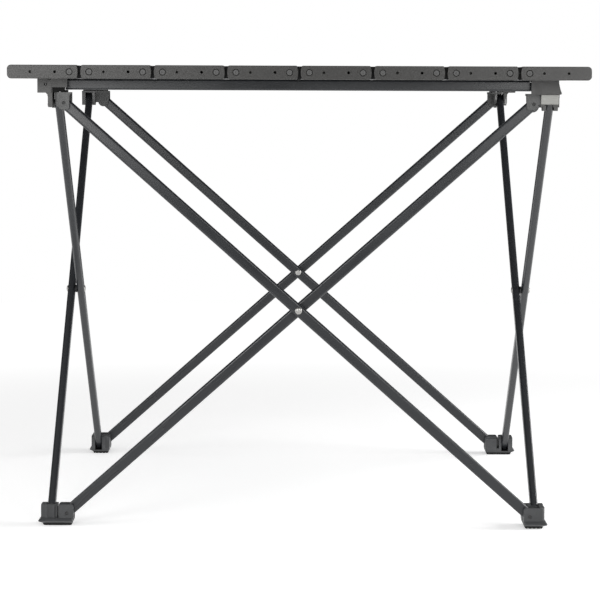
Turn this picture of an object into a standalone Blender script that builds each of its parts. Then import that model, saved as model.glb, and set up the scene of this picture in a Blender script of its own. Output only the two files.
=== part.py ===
"""Camping table: a roll-up top of eight slats on a folding frame of crossed legs.

Metres, +Z up. The origin is on the floor under the middle of the table. The slats
run front to back along Y, and the front is at -Y. Seen from outside any of the four
sides, the outer tube of the crossing pair falls from top left to bottom right and the
inner tube from top right to bottom left, so the leg frame repeats every 90 degrees.
"""
import math

import bmesh
import bpy
from mathutils import Matrix, Vector

for old in list(bpy.data.objects):
    bpy.data.objects.remove(old, do_unlink=True)

# ---------------------------------------------------------------- dimensions
MM = 0.001

TOP_SIZE = 700 * MM          # square top, edge to edge
SLATS = 8
CAP_W = 84.7 * MM            # width of one slat end cap
PITCH = (TOP_SIZE - CAP_W) / (SLATS - 1)
SLAT_T = 16.5 * MM           # thickness of the top
TOP_Z = 566.5 * MM           # height of the top surface
PIN_X = 32.1 * MM            # link pin from its slat's centre line
END_R = CAP_W / 2 - PIN_X    # the cap's end is an arc about the pin
CAP_D = 14.0 * MM            # cap along Y, outside the extrusion
SKIN = 0.35 * MM             # the extrusion is this much inside the cap's outline
WALL = 1.0 * MM              # extrusion wall
END_CORNER = 5.0 * MM        # corners of the two outermost edges
GAP = 0.3 * MM               # between pieces that touch

PIN_R = 3.9 * MM
HOLE_R = 4.25 * MM
SLOT_Y = (4.4 * MM, 9.6 * MM)    # slot for the link, from the cap's face
LINK_H = 11.2 * MM

LEG_B = 300.0 * MM           # mean distance of the crossing planes from the axis
LEG_P = 285.5 * MM           # tube end pivots, along their side, from the middle
PLANES = 12.2 * MM           # outer plane to inner plane of a crossing pair
HUB_Z = 521.0 * MM           # upper pivots
FOOT_Z = 15.5 * MM           # lower pivots
TUBE_W = 12.0 * MM           # tube across, in the crossing plane
TUBE_S = 8.8 * MM            # tube thickness
TUBE_WALL = 1.2 * MM
TUBE_END = 7.0 * MM          # tube past its end pivot
TUBE_HOLE_R = 3.25 * MM
SHANK_R = 2.75 * MM

RAIL_Y = 300.0 * MM
RAIL_W = 13.0 * MM           # along Y
RAIL_Z = (536.7 * MM, 547.8 * MM)
RAIL_PIVOT_X = {"front": -289.0 * MM, "rear": -273.0 * MM}
RAIL_END_X = 290.0 * MM
BRACKET_TOP = TOP_Z - SLAT_T - GAP

HALF = LEG_P
CROSS_Z = (HUB_Z + FOOT_Z) / 2
THETA = math.atan2(HUB_Z - FOOT_Z, 2 * LEG_P)
ARM = math.hypot(LEG_P, (HUB_Z - FOOT_Z) / 2)
OUT = LEG_B + PLANES / 2 - LEG_P     # outer plane, from a corner's origin
INN = LEG_B - PLANES / 2 - LEG_P     # inner plane, from a corner's origin

scene = bpy.context.scene
root_collection = scene.collection


# ---------------------------------------------------------------- materials
def material(name, colour, roughness, metallic=0.0):
    mat = bpy.data.materials.new(name)
    mat.use_nodes = True
    shader = mat.node_tree.nodes["Principled BSDF"]
    shader.inputs["Base Color"].default_value = (*colour, 1.0)
    shader.inputs["Roughness"].default_value = roughness
    shader.inputs["Metallic"].default_value = metallic
    return mat


SLAT_MAT = ((0.10, 0.10, 0.105), 0.45, 0.8)
CAP_MAT = ((0.085, 0.08, 0.075), 0.6, 0.0)
LINK_MAT = ((0.05, 0.05, 0.05), 0.55, 0.0)
RAIL_MAT = ((0.06, 0.065, 0.075), 0.4, 0.7)
TUBE_MAT = ((0.05, 0.055, 0.065), 0.4, 0.7)
PLASTIC_MAT = ((0.04, 0.04, 0.04), 0.6, 0.0)


# ---------------------------------------------------------------- mesh tools
PLACE = {"X": lambda a, b, c: (c, a, b),
         "Y": lambda a, b, c: (a, c, b),
         "Z": lambda a, b, c: (a, b, c)}


def prism(loops, axis, low, high):
    """Closed solid: outline loops[0] with holes loops[1:], from low to high on axis."""
    bm = bmesh.new()
    put = PLACE[axis]
    edges = []
    for loop in loops:
        ring = [bm.verts.new(put(a, b, low)) for a, b in loop]
        edges += [bm.edges.new((ring[i], ring[(i + 1) % len(ring)])) for i in range(len(ring))]
    bmesh.ops.triangle_fill(bm, edges=edges, use_beauty=True)
    bmesh.ops.dissolve_limit(bm, angle_limit=math.radians(0.5), verts=bm.verts[:], edges=bm.edges[:])
    made = bmesh.ops.extrude_face_region(bm, geom=bm.faces[:])
    verts = [v for v in made["geom"] if isinstance(v, bmesh.types.BMVert)]
    bmesh.ops.translate(bm, verts=verts, vec=Vector(put(0, 0, high - low)))
    bmesh.ops.recalc_face_normals(bm, faces=bm.faces[:])
    return bm


def box(x0, x1, y0, y1, z0, z1):
    return prism([[(x0, y0), (x1, y0), (x1, y1), (x0, y1)]], "Z", z0, z1)


def circle(ca, cb, radius, count, turn=0.0):
    return [(ca + radius * math.cos(turn + 2 * math.pi * i / count),
             cb + radius * math.sin(turn + 2 * math.pi * i / count)) for i in range(count)]


def turned(axis, centre, rings, count):
    """Turned solid: rings of (position along axis, radius), closed by flat ends."""
    bm = bmesh.new()
    put = PLACE[axis]
    loops = []
    for along, radius in rings:
        loops.append([bm.verts.new(put(a, b, along)) for a, b in circle(centre[0], centre[1], radius, count)])
    for lower, upper in zip(loops, loops[1:]):
        for i in range(count):
            j = (i + 1) % count
            bm.faces.new((lower[i], lower[j], upper[j], upper[i]))
    bm.faces.new(loops[0])
    bm.faces.new(loops[-1])
    bmesh.ops.recalc_face_normals(bm, faces=bm.faces[:])
    return bm


def scratch(bm, name="shape"):
    mesh = bpy.data.meshes.new(name)
    bm.to_mesh(mesh)
    bm.free()
    obj = bpy.data.objects.new(name, mesh)
    root_collection.objects.link(obj)
    return obj


def combine(base, tools, operation):
    """Applies one exact Boolean after another and returns the mesh's object."""
    for bm in tools:
        tool = scratch(bm, "cutter")
        tool.hide_render = True
        tool.display_type = "WIRE"
        mod = base.modifiers.new("boolean", "BOOLEAN")
        mod.object = tool
        mod.operation = operation
        mod.solver = "EXACT"
        graph = bpy.context.evaluated_depsgraph_get()
        result = bpy.data.meshes.new_from_object(base.evaluated_get(graph))
        base.modifiers.clear()
        base.data = result
        bpy.data.objects.remove(tool, do_unlink=True)
    return base


def finish_mesh(obj, name, smooth=35.0):
    """Takes the finished mesh off a working object."""
    bm = bmesh.new()
    bm.from_mesh(obj.data)
    bmesh.ops.remove_doubles(bm, verts=bm.verts[:], dist=0.00001)
    bmesh.ops.dissolve_limit(bm, angle_limit=math.radians(0.4), verts=bm.verts[:], edges=bm.edges[:])
    bmesh.ops.recalc_face_normals(bm, faces=bm.faces[:])
    mesh = bpy.data.meshes.new(name)
    bm.to_mesh(mesh)
    bm.free()
    bpy.data.objects.remove(obj, do_unlink=True)
    mesh.shade_smooth()
    mesh.set_sharp_from_angle(angle=math.radians(smooth))
    return mesh


def empty(name, location, parent=None):
    obj = bpy.data.objects.new(name, None)
    obj.empty_display_size = 0.02
    root_collection.objects.link(obj)
    obj.parent = parent
    obj.matrix_world = Matrix.Translation(Vector(location))
    bpy.context.view_layer.update()
    return obj


def piece(name, mesh, look, location, turn=(0.0, 0.0, 0.0), parent=None, spin=None):
    """Places one piece: spin turns it in its own plane, then turn about the world axes."""
    own = mesh.copy()
    own.name = name
    own.materials.clear()
    own.materials.append(material(name, *look))
    obj = bpy.data.objects.new(name, own)
    root_collection.objects.link(obj)
    obj.parent = parent
    matrix = Matrix.Translation(Vector(location))
    for axis, angle in zip("ZYX", (turn[2], turn[1], turn[0])):
        if angle:
            matrix = matrix @ Matrix.Rotation(angle, 4, axis)
    if spin is not None:
        matrix = matrix @ Matrix.Rotation(spin[1], 4, spin[0])
    bpy.context.view_layer.update()
    obj.matrix_world = matrix
    return obj


# ---------------------------------------------------------------- the top
def slat_outline(inset, plain=0):
    """Flat top and bottom with arcs about the two pins; plain names a square outer edge."""
    half = SLAT_T / 2 - inset
    radius = END_R - inset
    reach = math.asin(half / radius)
    steps = 6
    pts = []
    for side, start in ((1, -reach), (-1, math.pi - reach)):
        if side == plain:
            corner = END_CORNER - inset
            ax, az = CAP_W / 2 - END_CORNER, half - corner
            for cz, first in ((-az, -math.pi / 2), (az, 0.0)):
                for i in range(4):
                    angle = first + math.pi / 6 * i
                    px = ax + corner * math.cos(angle)
                    pz = cz + corner * math.sin(angle)
                    pts.append((side * px, side * pz))
            continue
        for i in range(steps + 1):
            angle = start + 2 * reach * i / steps
            pts.append((side * PIN_X + radius * math.cos(angle), radius * math.sin(angle)))
    return pts


def slat_mesh(plain=0):
    outer = slat_outline(SKIN, plain)
    h = SLAT_T / 2 - SKIN - WALL
    web = 0.5 * MM
    mid = 13.5 * MM
    centre = [(-mid, -h), (mid, -h), (mid, h), (-mid, h)]
    far, tip = 36.0 * MM, 38.9 * MM
    right = [(mid + 2 * web, -h), (far, -h), (tip, -h * 0.6), (tip, h * 0.6), (far, h), (mid + 2 * web, h)]
    left = [(-a, b) for a, b in reversed(right)]
    long = TOP_SIZE / 2 - CAP_D - GAP
    return finish_mesh(scratch(prism([outer, centre, right, left], "Y", -long, long)), "slat")


def cap_mesh(plain=0):
    """Front cap about the middle of its slat's end face; +Y goes into the slat."""
    base = scratch(prism([slat_outline(0.0, plain)], "Y", 0.0, CAP_D))
    h = SLAT_T / 2 - SKIN - WALL - GAP
    prongs = [box(a, b, CAP_D - 1.0 * MM, CAP_D + 18.0 * MM, -h, h)
              for a, b in ((-13.2 * MM, 13.2 * MM), (14.9 * MM, 27.0 * MM), (-27.0 * MM, -14.9 * MM))]
    combine(base, prongs, "UNION")
    tall = SLAT_T
    slot_in = PIN_X - 7.1 * MM
    cuts = []
    sides = [side for side in (1, -1) if side != plain]
    for side in sides:
        a, b = sorted((side * slot_in, side * (CAP_W / 2 + 2 * MM)))
        cuts.append(box(a, b, SLOT_Y[0], SLOT_Y[1], -tall, tall))
    for side in sides:
        cuts.append(prism([circle(side * PIN_X, 0.0, HOLE_R, 8)], "Y", -1 * MM, CAP_D + 1 * MM))
    combine(base, cuts, "DIFFERENCE")
    return finish_mesh(base, "cap")


def link_mesh():
    """Link plate with its two pins, about the middle of the joint; -Y is the outer end."""
    reach = PITCH / 2 - PIN_X
    radius = LINK_H / 2
    plate = []
    for side, start in ((1, -math.pi / 2), (-1, math.pi / 2)):
        for i in range(5):
            angle = start + math.pi * i / 4
            plate.append((side * reach + radius * math.cos(angle), radius * math.sin(angle)))
    base = scratch(prism([plate], "Y", SLOT_Y[0] + GAP, SLOT_Y[1] - GAP))
    pins = [prism([circle(side * reach, 0.0, PIN_R, 8)], "Y", 0.4 * MM, CAP_D - 0.5 * MM)
            for side in (1, -1)]
    combine(base, pins, "UNION")
    return finish_mesh(base, "link")


# ---------------------------------------------------------------- the legs
def tube_mesh(outer):
    """Tube along X, 2 * ARM between end pivots; -Y faces out of the frame."""
    w, s, r = TUBE_W / 2, TUBE_S / 2, 1.6 * MM
    ring = [(s, w - r), (s - r, w), (-s + r, w), (-s, w - r), (-s, -w + r), (-s + r, -w), (s - r, -w), (s, -w + r)]
    iw, i_s = w - TUBE_WALL, s - TUBE_WALL
    bore = [(i_s, iw), (-i_s, iw), (-i_s, -iw), (i_s, -iw)]
    end = ARM + TUBE_END
    base = scratch(prism([ring, bore], "X", -end, end))
    spots = (-ARM, 0.0, ARM) if outer else (-ARM, ARM)
    combine(base, [prism([circle(x, 0.0, TUBE_HOLE_R, 10)], "Y", -2 * s, 2 * s) for x in spots], "DIFFERENCE")
    if not outer:
        # middle rivet: head inside, washer between the tubes, shank and domed head outside
        face = -(PLANES + s)
        rings = [(s + 1.5 * MM, 3.2 * MM), (s - 0.2 * MM, 4.4 * MM),
                 (s - 0.2 * MM, SHANK_R), (-s + 0.2 * MM, SHANK_R), (-s + 0.2 * MM, 5.0 * MM),
                 (-PLANES + s + GAP, 5.0 * MM), (-PLANES + s + GAP, SHANK_R), (face - GAP, SHANK_R),
                 (face - GAP, 4.5 * MM), (face - 2.3 * MM, 2.4 * MM)]
        combine(base, [turned("Y", (0.0, 0.0), rings, 10)], "UNION")
    return finish_mesh(base, "tube")


def rivet(axis, low, high, head_low=0.0, head_high=0.0, grow=1.3 * MM):
    """Shank from low to high through the origin's axis, with optional heads past each end."""
    rings = []
    if head_low:
        rings += [(low - grow, head_low * 0.7), (low - 0.4 * grow, head_low), (low, head_low)]
    rings.append((low, SHANK_R))
    rings.append((high, SHANK_R))
    if head_high:
        rings += [(high, head_high), (high + 0.4 * grow, head_high), (high + grow, head_high * 0.7)]
    return rings


def lobe(radius, top, down, steps=4):
    """Ear outline (along, up): straight sides up to top and a round lower end."""
    pts = [(radius, top), (-radius, top)]
    for i in range(steps + 1):
        angle = math.pi + math.pi * i / steps
        pts.append((radius * math.cos(angle), -down + radius + radius * math.sin(angle)))
    return pts


def hub_mesh():
    """Front left hub about the crossing point of its two pivot axes."""
    s = TUBE_S / 2
    top = 12.7 * MM
    plate_z = 10.2 * MM
    x0, x1 = -11.8 * MM, 8.5 * MM
    y_out = -(OUT + s + 5.4 * MM)
    y_in = 11.5 * MM
    gap = 0.5 * MM
    far = -(INN + s + gap) - 3.9 * MM
    # plate that closes the hub above the tubes, wider over the inner tube's fork
    plate = [(x0 + 1.5 * MM, y_out), (x1 - 1.5 * MM, y_out), (x1, y_out + 1.5 * MM), (x1, -6 * MM),
             (4.5 * MM, y_in), (-10.3 * MM, y_in), (x0, y_in - 1.5 * MM), (x0, 8.1 * MM),
             (far, 8.1 * MM), (far, -8.3 * MM), (x0, -8.3 * MM), (x0, y_out + 1.5 * MM)]
    base = scratch(prism([plate], "Z", plate_z, top))
    # fork around the outer tube: the wall's lower left corner is cut off, its right is round
    low = -8.3 * MM
    wall = [(x0, top - 0.6 * MM), (x0, -1.8 * MM), (x0 + 6 * MM, low), (x1 - 6.5 * MM, low)]
    wall += [(x1 - 6.5 * MM + 4.5 * MM * math.sin(a), low + 4.5 * MM - 4.5 * MM * math.cos(a))
             for a in (math.pi / 6, math.pi / 3, math.pi / 2)]
    wall += [(x1 - 2 * MM, 8.5 * MM), (x1, 10.4 * MM), (x1, top - 0.6 * MM)]
    adds = [prism([wall], "Y", y_out + 0.2 * MM, -(OUT + s + gap)),
            prism([wall], "Y", -(OUT - s - gap), -(OUT - s - gap) + 4.0 * MM),
            prism([[(x0 + 0.2 * MM, top - 0.5 * MM), (x0 + 0.2 * MM, 4.0 * MM), (x0 + 2.2 * MM, 4.0 * MM),
                    (x0 + 2.2 * MM, top - 0.5 * MM)]], "Y", y_out + 1 * MM, -(OUT - s - gap) + 1 * MM),
            # ears on both faces of the inner tube
            prism([[(8.0 * MM, top - 0.4 * MM), (8.0 * MM, -6.3 * MM), (0.4 * MM, -6.6 * MM), (-2.6 * MM, -5.6 * MM),
                    (-4.8 * MM, -3.4 * MM), (-5.6 * MM, -0.6 * MM), (-8.2 * MM, -0.4 * MM), (-8.2 * MM, top - 0.4 * MM)]],
                  "X", far + 0.1 * MM, -(INN + s + gap)),
            prism([lobe(7.6 * MM, top - 0.4 * MM, 10.0 * MM)], "X", -(INN - s - gap), -(INN - s - gap) + 4.0 * MM),
            prism([[(-14 * MM, top - 0.3 * MM), (-14 * MM, -4 * MM), (-6 * MM, -4 * MM), (-6 * MM, top - 0.3 * MM)]],
                  "X", -(INN - s - gap) + 0.1 * MM, -(INN - s - gap) + 3.9 * MM)]
    combine(base, adds, "UNION")
    pin_out = rivet("Y", -(OUT + s + 1.0 * MM), -(OUT - s - 1.0 * MM))
    pin_in = rivet("X", -(INN + s + gap) - 1.0 * MM, -(INN - s - 1.0 * MM))
    combine(base, [turned("Y", (0.0, 0.0), pin_out, 8), turned("X", (0.0, 0.0), pin_in, 8)], "UNION")
    return finish_mesh(base, "hub")


def foot_mesh():
    """Front left foot about the crossing point of its two pivot axes; the floor is at -FOOT_Z."""
    s = TUBE_S / 2
    gap = 0.5 * MM
    floor = -FOOT_Z
    x0, x1 = -33.0 * MM, 8.5 * MM
    y0, y1 = -19.0 * MM, 11.5 * MM
    c = 2.5 * MM
    deck = floor + 5.4 * MM
    plan = [(x0 + c, y0), (x1 - c, y0), (x1, y0 + c), (x1, y1 - c), (x1 - c, y1), (x0 + c, y1), (x0, y1 - c), (x0, y0 + c)]
    base = scratch(prism([plan], "Z", floor, deck))
    rim = floor + 10.6 * MM
    ear_top = 10.8 * MM

    def cheek(mid, half, up):
        """Cheek from inside the deck to a flat top with cut corners."""
        cut = 2.6 * MM
        return [(mid - half, floor + 2 * MM), (mid + half, floor + 2 * MM), (mid + half, up - cut), (mid + half - cut, up),
                (mid - half + cut, up), (mid - half, up - cut)]

    front_in = (y0 + 0.2 * MM, -(INN + s + gap))
    rear_in = (-(INN - s - gap), -(INN - s - gap) + 4.6 * MM)
    left_out = (x0 + 0.3 * MM, -(OUT + s + gap))
    right_out = (-(OUT - s - gap), -(OUT - s - gap) + 3.6 * MM)
    adds = [
        prism([cheek(-1.2 * MM, 9.6 * MM, ear_top)], "Y", *front_in),
        prism([cheek(-1.2 * MM, 9.6 * MM, ear_top)], "Y", *rear_in),
        prism([cheek(-2.6 * MM, 10.0 * MM, ear_top - 0.5 * MM)], "X", *left_out),
        prism([cheek(-2.6 * MM, 10.0 * MM, ear_top - 0.5 * MM)], "X", *right_out),
        # wall across the end of the outer tube's slot, and low rims round the deck
        box(x0 + 0.3 * MM, right_out[1] - 0.2 * MM, y0 + 0.3 * MM, -12.4 * MM, floor + 2 * MM, 11.0 * MM),
        box(x0 + 0.1 * MM, x1 - 2 * MM, y0 + 0.1 * MM, front_in[1] - 0.1 * MM, floor + 1 * MM, rim),
        box(x0 + 0.1 * MM, left_out[1] - 0.1 * MM, y0 + 2 * MM, y1 - 2.2 * MM, floor + 1 * MM, rim),
        box(right_out[1] - 0.4 * MM, -9.8 * MM, -13.5 * MM, -2.0 * MM, floor + 2 * MM, rim - 0.1 * MM),
        # flared lips on the two outer sides
        prism([[(y0 + 1 * MM, floor + 10.0 * MM), (y0 - 2.6 * MM, floor + 7.0 * MM), (y0 - 2.6 * MM, floor + 5.6 * MM),
                (y0 + 1 * MM, floor + 3.0 * MM)]], "X", x0 - 1.4 * MM, x1 - 3.0 * MM),
        prism([[(x0 + 1 * MM, floor + 9.9 * MM), (x0 - 2.2 * MM, floor + 6.9 * MM), (x0 - 2.2 * MM, floor + 5.5 * MM),
                (x0 + 1 * MM, floor + 2.9 * MM)]], "Y", y0 - 1.4 * MM, y1 - 3.0 * MM),
    ]
    combine(base, adds, "UNION")
    pin_in = rivet("Y", front_in[1] - 1.0 * MM, rear_in[0] + 1.0 * MM)
    pin_out = rivet("X", left_out[1] - 1.0 * MM, right_out[0] + 1.0 * MM)
    combine(base, [turned("Y", (0.0, 0.0), pin_in, 8), turned("X", (0.0, 0.0), pin_out, 8)], "UNION")
    return finish_mesh(base, "foot")


# ---------------------------------------------------------------- rails and brackets
def rail_mesh(pivot_x):
    """Rail along +X from its pivot, about the pivot at mid height."""
    z0, z1 = RAIL_Z
    mid = (z0 + z1) / 2
    start, end = 8.0 * MM, RAIL_END_X - pivot_x
    hw, c = RAIL_W / 2, 1.8 * MM
    a0, a1 = z0 - mid, z1 - mid
    ring = [(-hw + c, a0), (hw - c, a0), (hw, a0 + c), (hw, a1 - c), (hw - c, a1), (-hw + c, a1), (-hw, a1 - c), (-hw, a0 + c)]
    wall = 1.2 * MM
    bore = [(-hw + c + 0.4 * MM, a0 + wall), (hw - c - 0.4 * MM, a0 + wall), (hw - wall, a0 + c + 0.4 * MM),
            (hw - wall, a1 - c - 0.4 * MM), (hw - c - 0.4 * MM, a1 - wall), (-hw + c + 0.4 * MM, a1 - wall),
            (-hw + wall, a1 - c - 0.4 * MM), (-hw + wall, a0 + c + 0.4 * MM)]
    base = scratch(prism([ring, bore], "X", start, end))
    # solid tongue on the pivot, thinner than the rail
    r = 6.8 * MM
    tongue = [(r * math.cos(math.pi / 2 + math.pi * i / 6), r * math.sin(math.pi / 2 + math.pi * i / 6)) for i in range(7)]
    tongue += [(start + 0.2 * MM, -6.3 * MM), (start + 0.2 * MM, 6.3 * MM)]
    combine(base, [prism([tongue], "Z", a1 - 7.8 * MM, a1 - 0.02 * MM),
                   box(start - 1.0 * MM, start + 9.0 * MM, -hw + 0.8 * MM, hw - 0.8 * MM, a0 + 0.8 * MM, a1 - 0.8 * MM)], "UNION")
    combine(base, [prism([circle(0.0, 0.0, 3.0 * MM, 8)], "Z", a0 - 2 * MM, a1 + 2 * MM)], "DIFFERENCE")
    return finish_mesh(base, "rail")


def rail_pin(x, y):
    """Vertical pin under a bracket's roof, with a head below the rail's tongue."""
    low = RAIL_Z[1] - 8.2 * MM
    rings = [(low - 1.2 * MM, 3.6 * MM), (low, 4.2 * MM), (low, 2.5 * MM), (BRACKET_TOP - 0.8 * MM, 2.5 * MM)]
    return turned("Z", (x, y), rings, 8)


ROOF = BRACKET_TOP - 1.6 * MM    # underside of a bracket's roof
SKIRT = 539.6 * MM               # lower edge of its short walls
DEEP = 533.0 * MM                # lower edge of its long wall
SEAT = HUB_Z + 13.0 * MM         # lower edge of the pad that rests on the hub
TONGUE = 515.5 * MM
# snap tongue in profile: (outward from the table's axis, up)
TONGUE_PROFILE = [(318.9 * MM, BRACKET_TOP - 0.2 * MM), (318.9 * MM, DEEP), (308.6 * MM, DEEP), (305.0 * MM, 528.0 * MM),
                  (305.0 * MM, TONGUE), (299.2 * MM, TONGUE), (299.2 * MM, BRACKET_TOP - 0.2 * MM)]


def bracket_side(pivot=False):
    """Bracket whose tongue hangs on the table's left: front left, or rear right turned round."""
    t = BRACKET_TOP
    base = scratch(box(-319.0 * MM, -281.6 * MM, -317.6 * MM, -280.7 * MM, ROOF, t))
    adds = [prism([[(-a, b) for a, b in TONGUE_PROFILE]], "Y", -315.4 * MM, -294.6 * MM),
            box(-318.8 * MM, -300.2 * MM, -317.5 * MM, -306.0 * MM if pivot else -309.0 * MM, DEEP + 0.1 * MM, t - 0.3 * MM),
            box(-318.8 * MM, -314.5 * MM, -316.0 * MM, -281.0 * MM, SKIRT, t - 0.3 * MM),
            box(-317.0 * MM, -281.7 * MM, -317.5 * MM, -313.6 * MM, SKIRT, t - 0.4 * MM),
            box(-297.4 * MM, -283.0 * MM, -314.0 * MM, -309.0 * MM, SEAT, t - 0.5 * MM)]
    if pivot:
        adds.append(rail_pin(RAIL_PIVOT_X["front"], -RAIL_Y))
    return finish_mesh(combine(base, adds, "UNION"), "bracket")


def bracket_end(pivot=None):
    """Bracket whose tongue hangs in front: front right, or rear left turned round."""
    t = BRACKET_TOP
    base = scratch(box(280.7 * MM, 317.6 * MM, -319.0 * MM, -281.6 * MM, ROOF, t))
    adds = [prism([[(-a, b) for a, b in TONGUE_PROFILE]], "X", 294.6 * MM, 315.4 * MM),
            box(280.8 * MM, 317.5 * MM, -318.8 * MM, -313.2 * MM, DEEP + 0.1 * MM, t - 0.3 * MM),
            box(309.0 * MM, 317.4 * MM, -318.0 * MM, -281.8 * MM, SKIRT, t - 0.4 * MM),
            box(309.1 * MM, 314.0 * MM, -297.4 * MM, -283.0 * MM, SEAT, t - 0.5 * MM)]
    if pivot:
        px, py = pivot
        adds += [box(px - 9.0 * MM, 282.0 * MM, py - 18.8 * MM, py + 9.0 * MM, ROOF + 0.01 * MM, t - 0.01 * MM),
                 box(px - 8.8 * MM, 283.0 * MM, py - 18.7 * MM, py - 13.3 * MM, SKIRT, t - 0.4 * MM),
                 rail_pin(px, py)]
    return finish_mesh(combine(base, adds, "UNION"), "bracket")


# ---------------------------------------------------------------- leg frame
hub, foot = hub_mesh(), foot_mesh()
outer_tube, inner_tube = tube_mesh(True), tube_mesh(False)

SIDES = ("front", "right", "rear", "left")
CORNERS = ("fl", "fr", "rr", "rl")
QUARTER = math.pi / 2


def side_point(index, x, y, z):
    """A point of the front side, moved to side number index."""
    v = Matrix.Rotation(index * QUARTER, 3, "Z") @ Vector((x, y, z))
    return (v.x, v.y, v.z)


Y_OUT, Y_IN = -(LEG_B + PLANES / 2), -(LEG_B - PLANES / 2)

j_root = empty("frame_root", side_point(0, -HALF, -HALF, HUB_Z))
j_fo = empty("pivot_front_outer", side_point(0, -HALF, Y_OUT, HUB_Z), j_root)
j_fi = empty("pivot_front_cross", side_point(0, 0.0, Y_IN, CROSS_Z), j_fo)
j_ffr = empty("pivot_foot_fr", side_point(0, HALF, Y_OUT, FOOT_Z), j_fo)
j_hfr = empty("pivot_hub_fr", side_point(0, HALF, Y_IN, HUB_Z), j_fi)
j_ffl = empty("pivot_foot_fl", side_point(0, -HALF, Y_IN, FOOT_Z), j_fi)
j_ro = empty("pivot_right_outer", side_point(1, -HALF, Y_OUT, HUB_Z), j_hfr)
j_ri = empty("pivot_right_cross", side_point(1, 0.0, Y_IN, CROSS_Z), j_ro)
j_frr = empty("pivot_foot_rr", side_point(1, HALF, Y_OUT, FOOT_Z), j_ro)
j_hrr = empty("pivot_hub_rr", side_point(1, HALF, Y_IN, HUB_Z), j_ri)
j_bo = empty("pivot_rear_outer", side_point(2, -HALF, Y_OUT, HUB_Z), j_hrr)
j_bi = empty("pivot_rear_cross", side_point(2, 0.0, Y_IN, CROSS_Z), j_bo)
j_li = empty("pivot_left_inner", side_point(3, HALF, Y_IN, HUB_Z), j_root)
j_lo = empty("pivot_left_cross", side_point(3, 0.0, Y_OUT, CROSS_Z), j_li)
j_frl = empty("pivot_foot_rl", side_point(3, -HALF, Y_IN, FOOT_Z), j_li)
j_hrl = empty("pivot_hub_rl", side_point(3, -HALF, Y_OUT, HUB_Z), j_lo)

tube_parents = {("front", "outer"): j_fo, ("front", "inner"): j_fi, ("right", "outer"): j_ro,
                ("right", "inner"): j_ri, ("rear", "outer"): j_bo, ("rear", "inner"): j_bi,
                ("left", "outer"): j_lo, ("left", "inner"): j_li}
for k, side in enumerate(SIDES):
    piece("leg_%s_outer" % side, outer_tube, TUBE_MAT, side_point(k, 0.0, Y_OUT, CROSS_Z),
          (0, 0, k * QUARTER), tube_parents[side, "outer"], ("Y", THETA))
    piece("leg_%s_inner" % side, inner_tube, TUBE_MAT, side_point(k, 0.0, Y_IN, CROSS_Z),
          (0, 0, k * QUARTER), tube_parents[side, "inner"], ("Y", -THETA))

hub_parents = {"fl": j_root, "fr": j_hfr, "rr": j_hrr, "rl": j_hrl}
foot_parents = {"fl": j_ffl, "fr": j_ffr, "rr": j_frr, "rl": j_frl}
for k, corner in enumerate(CORNERS):
    piece("hub_%s" % corner, hub, PLASTIC_MAT, side_point(k, -HALF, -HALF, HUB_Z),
          (0, 0, k * QUARTER), hub_parents[corner])
    piece("foot_%s" % corner, foot, PLASTIC_MAT, side_point(k, -HALF, -HALF, FOOT_Z),
          (0, 0, k * QUARTER), foot_parents[corner])

# ---------------------------------------------------------------- top assembly
link = link_mesh()
slats = {plain: slat_mesh(plain) for plain in (-1, 0, 1)}
caps = {plain: cap_mesh(plain) for plain in (-1, 0, 1)}
MID_Z = TOP_Z - SLAT_T / 2
EDGE = TOP_SIZE / 2

j_top = empty("top_lift", (-PITCH * (SLATS - 1) / 2, 0.0, MID_Z), j_root)
holder = j_top
carriers = []
for i in range(SLATS):
    cx = (i - (SLATS - 1) / 2) * PITCH
    plain = -1 if i == 0 else 1 if i == SLATS - 1 else 0
    if i:
        joint_x = cx - PITCH / 2
        reach = PITCH / 2 - PIN_X
        j_link = empty("pivot_link_%d" % i, (joint_x - reach, 0.0, MID_Z), holder)
        for end, y, turn in (("front", -EDGE, 0.0), ("rear", EDGE, math.pi)):
            piece("link_%s_%d" % (end, i), link, LINK_MAT, (joint_x, y, MID_Z), (0, 0, turn), j_link)
        holder = empty("pivot_slat_%d" % (i + 1), (joint_x + reach, 0.0, MID_Z), j_link)
    carriers.append(holder)
    piece("slat_%d" % (i + 1), slats[plain], SLAT_MAT, (cx, 0.0, MID_Z), (0, 0, 0), holder)
    piece("cap_front_%d" % (i + 1), caps[plain], CAP_MAT, (cx, -EDGE, MID_Z), (0, 0, 0), holder)
    piece("cap_rear_%d" % (i + 1), caps[-plain], CAP_MAT, (cx, EDGE, MID_Z), (0, 0, math.pi), holder)

zero = (0.0, 0.0, 0.0)
half_turn = (0.0, 0.0, math.pi)
piece("bracket_fl", bracket_side(pivot=True), PLASTIC_MAT, zero, zero, carriers[0])
piece("bracket_rl", bracket_end(pivot=(-RAIL_PIVOT_X["rear"], -RAIL_Y)), PLASTIC_MAT, zero, half_turn, carriers[0])
piece("bracket_fr", bracket_end(), PLASTIC_MAT, zero, zero, carriers[-1])
piece("bracket_rr", bracket_side(), PLASTIC_MAT, zero, half_turn, carriers[-1])

rail_mid = (RAIL_Z[0] + RAIL_Z[1]) / 2
for end, y in (("front", -RAIL_Y), ("rear", RAIL_Y)):
    at = (RAIL_PIVOT_X[end], y, rail_mid)
    pivot = empty("pivot_rail_%s" % end, at, carriers[0])
    piece("rail_%s" % end, rail_mesh(RAIL_PIVOT_X[end]), RAIL_MAT, at, zero, pivot)
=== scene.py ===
"""Looks for the camping table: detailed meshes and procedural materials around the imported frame.

Meshes are drawn in millimetres about the same local origins as the CAD pieces and scaled to
metres when they are placed.
"""

import math

import bmesh
import bpy
from mathutils import Matrix, Vector


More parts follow.
